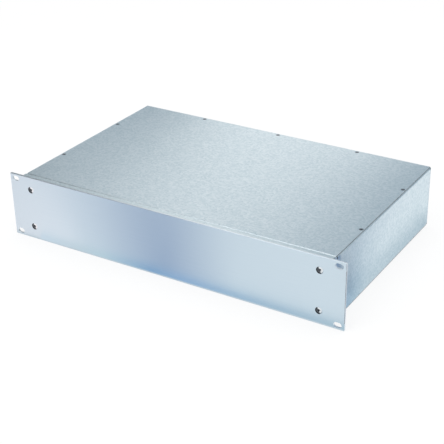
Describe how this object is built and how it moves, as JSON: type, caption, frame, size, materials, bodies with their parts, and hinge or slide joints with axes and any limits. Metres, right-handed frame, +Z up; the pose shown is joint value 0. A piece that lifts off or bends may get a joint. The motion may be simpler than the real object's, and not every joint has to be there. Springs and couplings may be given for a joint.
{
  "type": "rack mount chassis",
  "caption": "Low rack mount chassis: a slotted aluminium front panel with rack ears on an empty, screwed box of folded zinc-coated sheet steel that houses electronics.",
  "frame": {"origin": "middle of the width and of the depth, level with the front panel's lower edge", "axes": "+X to the right across the panel, +Y from the front panel to the rear, +Z up"},
  "size_m": [0.4826, 0.286, 0.0881],
  "materials": {
    "anodised_aluminium": "brushed along its length and natural anodised",
    "zinc_sheet": "hot-dip zinc-coated sheet with a fine spangle",
    "screw_steel": "dark passivated zinc plating",
    "nut_steel": "bright zinc plating"
  },
  "bodies": {
    "root": {"front_panel": "anodised_aluminium", "left_side": "zinc_sheet", "right_side": "zinc_sheet", "rear_panel": "zinc_sheet", "top_cover": "zinc_sheet", "bottom_cover": "zinc_sheet", "front_top_rail": "zinc_sheet", "front_bottom_rail": "zinc_sheet", "front_panel_screws": "screw_steel", "front_panel_nuts": "nut_steel", "top_cover_side_screws": "screw_steel", "top_cover_rear_screws": "screw_steel", "bottom_cover_side_screws": "screw_steel", "bottom_cover_rear_screws": "screw_steel", "left_cover_nuts": "nut_steel", "right_cover_nuts": "nut_steel", "rear_cover_nuts": "nut_steel", "top_rail_screws": "screw_steel", "top_rail_nuts": "nut_steel", "bottom_rail_screws": "screw_steel", "bottom_rail_nuts": "nut_steel", "rear_panel_screws": "screw_steel", "rear_panel_nuts": "nut_steel"}
  },
  "joints": []
}
